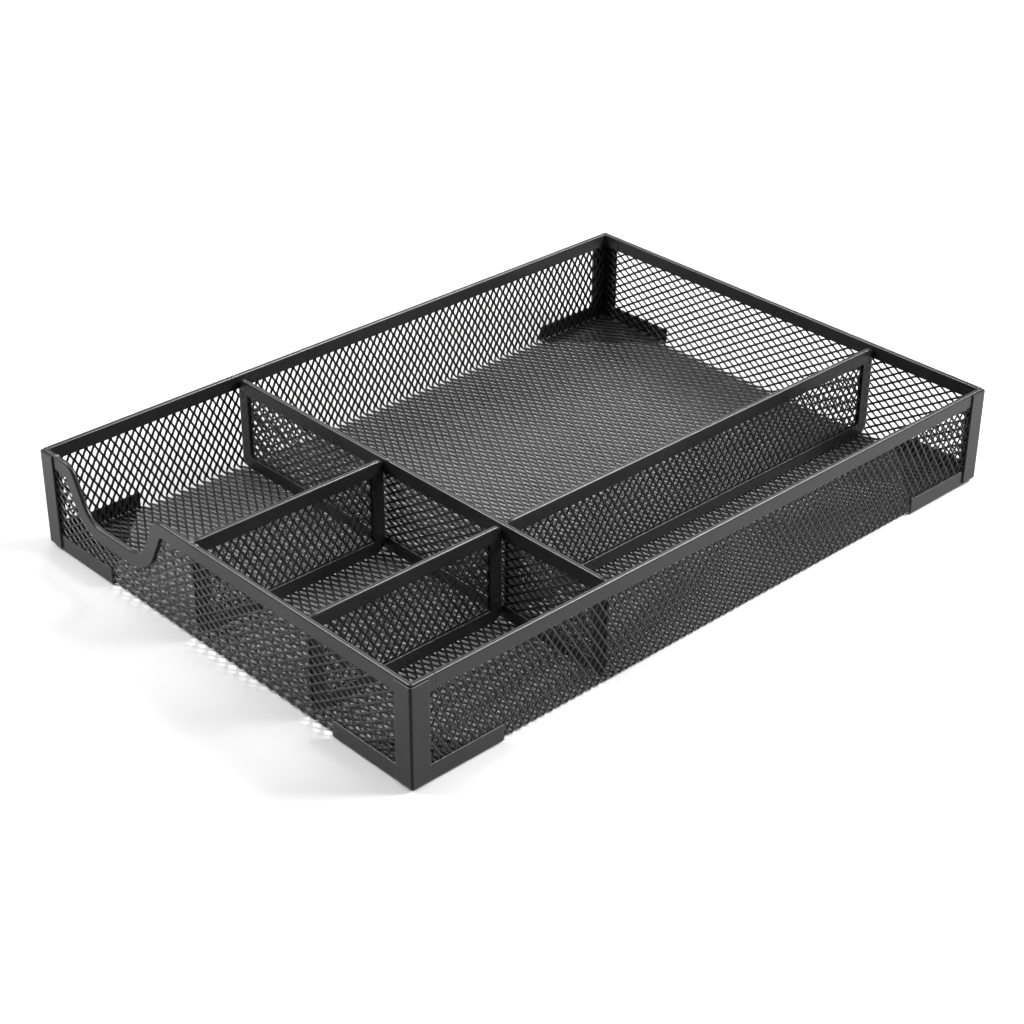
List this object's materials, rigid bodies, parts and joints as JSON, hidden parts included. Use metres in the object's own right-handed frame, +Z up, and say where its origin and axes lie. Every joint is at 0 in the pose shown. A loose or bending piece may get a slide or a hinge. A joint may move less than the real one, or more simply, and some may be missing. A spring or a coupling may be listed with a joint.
{
  "type": "drawer organizer insert",
  "caption": "Black steel mesh desk-drawer organizer with compartments, framed mesh dividers and a finger scoop in one end.",
  "frame": {"origin": "centre of the underside, level with the bottom of the four corner feet", "axes": "+X along the length away from the end with the finger scoop, +Y to the back, the side that the scoop is nearer to, +Z up"},
  "size_m": [0.356, 0.25, 0.05],
  "materials": {
    "mesh_black": "satin black powder coat",
    "strip_black": "satin black powder coat"
  },
  "bodies": {
    "root": {"basket_mesh": "mesh_black", "rim_left_back": "strip_black", "rim_front_right": "strip_black", "post_front_left": "strip_black", "post_back_left": "strip_black", "post_front_right": "strip_black", "post_back_right": "strip_black", "foot_front_left": "strip_black", "foot_back_left": "strip_black", "foot_front_right": "strip_black", "foot_back_right": "strip_black", "cross_divider_frame": "strip_black", "cross_divider_mesh": "mesh_black", "long_divider_frame": "strip_black", "long_divider_mesh": "mesh_black", "front_short_divider_frame": "strip_black", "front_short_divider_mesh": "mesh_black", "back_short_divider_frame": "strip_black", "back_short_divider_mesh": "mesh_black"}
  },
  "joints": []
}
